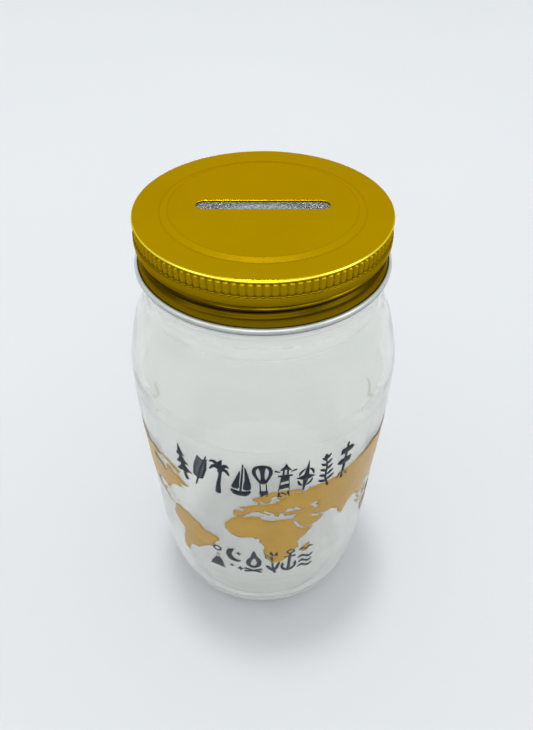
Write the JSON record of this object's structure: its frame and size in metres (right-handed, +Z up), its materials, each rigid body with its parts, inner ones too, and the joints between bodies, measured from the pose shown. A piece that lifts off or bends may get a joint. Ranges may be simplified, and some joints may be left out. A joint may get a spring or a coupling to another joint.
{
  "type": "coin bank jar",
  "caption": "Glass money jar with a clear printed wrap and a gold pressed screw lid that has a coin slot in its raised centre panel and a ribbed grip band.",
  "frame": {"origin": "centre of the base, on the surface the jar stands on", "axes": "+Z up the jar's axis, -Y towards the front of the printed wrap, +X to the right when looking at the front, along the coin slot"},
  "size_m": [0.0872, 0.0872, 0.1629],
  "materials": {
    "jar_glass": "clear moulded soda-lime glass with a faint green tint in thick places",
    "gold_tinplate": "satin gold lacquer over pressed tinplate, bare tin on the curl and inside",
    "seal_compound": "off-white soft sealing compound",
    "clear_film": "clear self-adhesive film carrying gold and navy print"
  },
  "bodies": {
    "jar": {"glass_jar": "jar_glass", "wrap_label": "clear_film"},
    "seal": {"lid_sealing_ring": "seal_compound"},
    "lid": {"lid_shell": "gold_tinplate"}
  },
  "joints": [
    {"name": "lid_rise", "type": "slide", "parent": "jar", "child": "seal", "axis": [0, 0, 1], "range_m": [0, 0.01693]},
    {"name": "lid_turn", "type": "hinge", "parent": "seal", "child": "lid", "pos_m": [0, 0, 0.1625], "axis": [0, 0, 1], "range_deg": [0, 1440]}
  ],
  "couplings": [
    {"joint": "lid_rise", "follows": "lid_turn", "m_per_rad": 0.00067322}
  ]
}
